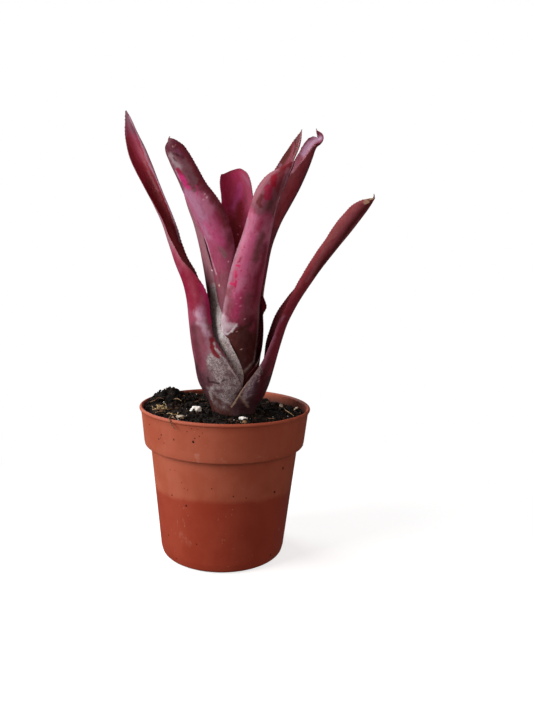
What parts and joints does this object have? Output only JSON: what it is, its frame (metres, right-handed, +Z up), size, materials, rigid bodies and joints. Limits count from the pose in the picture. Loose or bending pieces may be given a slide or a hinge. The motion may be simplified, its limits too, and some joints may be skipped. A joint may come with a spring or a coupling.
{
  "type": "potted bromeliad",
  "caption": "Small wine red bromeliad with a narrow upright rosette of waxy strap leaves, in a round tapered nursery pot filled with dark peat.",
  "frame": {"origin": "centre of the pot's flat base, on the surface it stands on", "axes": "+Z up along the pot's axis, +X to the right and +Y away in the picture"},
  "size_m": [0.1506, 0.105, 0.2697],
  "materials": {
    "terracotta_plastic": "matte, dusty",
    "peat": "loose dark peat with crumbs",
    "stem": "dull",
    "leaf_far_right": "waxy leaf, wine red with a pale bloom",
    "leaf_far_left": "waxy leaf, wine red with a pale bloom",
    "leaf_left_behind": "waxy leaf, wine red with a pale bloom",
    "leaf_right_hooked": "waxy leaf, wine red with a pale bloom",
    "leaf_front": "waxy leaf, wine red with a pale bloom",
    "leaf_left_broad": "waxy leaf, wine red with a pale bloom",
    "leaf_back_right": "waxy leaf, wine red with a pale bloom",
    "leaf_heart": "waxy leaf, wine red with a pale bloom",
    "grit_white": "rough, dry",
    "grit_cream": "rough, dry",
    "bark": "rough, dry",
    "straw": "rough, dry"
  },
  "bodies": {
    "root": {"pot": "terracotta_plastic", "soil": "peat", "stem": "stem", "leaf_far_right": "leaf_far_right", "leaf_far_left": "leaf_far_left", "leaf_left_behind": "leaf_left_behind", "leaf_right_hooked": "leaf_right_hooked", "leaf_front": "leaf_front", "leaf_left_broad": "leaf_left_broad", "leaf_back_right": "leaf_back_right", "leaf_heart": "leaf_heart", "perlite_large": "grit_white", "perlite_small": "grit_white", "cream_flake": "grit_cream", "pale_grain": "grit_cream", "shell_piece": "grit_cream", "bark_chip": "bark", "straw_long": "straw", "straw_short": "straw", "fibre_right": "straw", "fibre_back": "straw", "root_thread": "bark"}
  },
  "joints": []
}
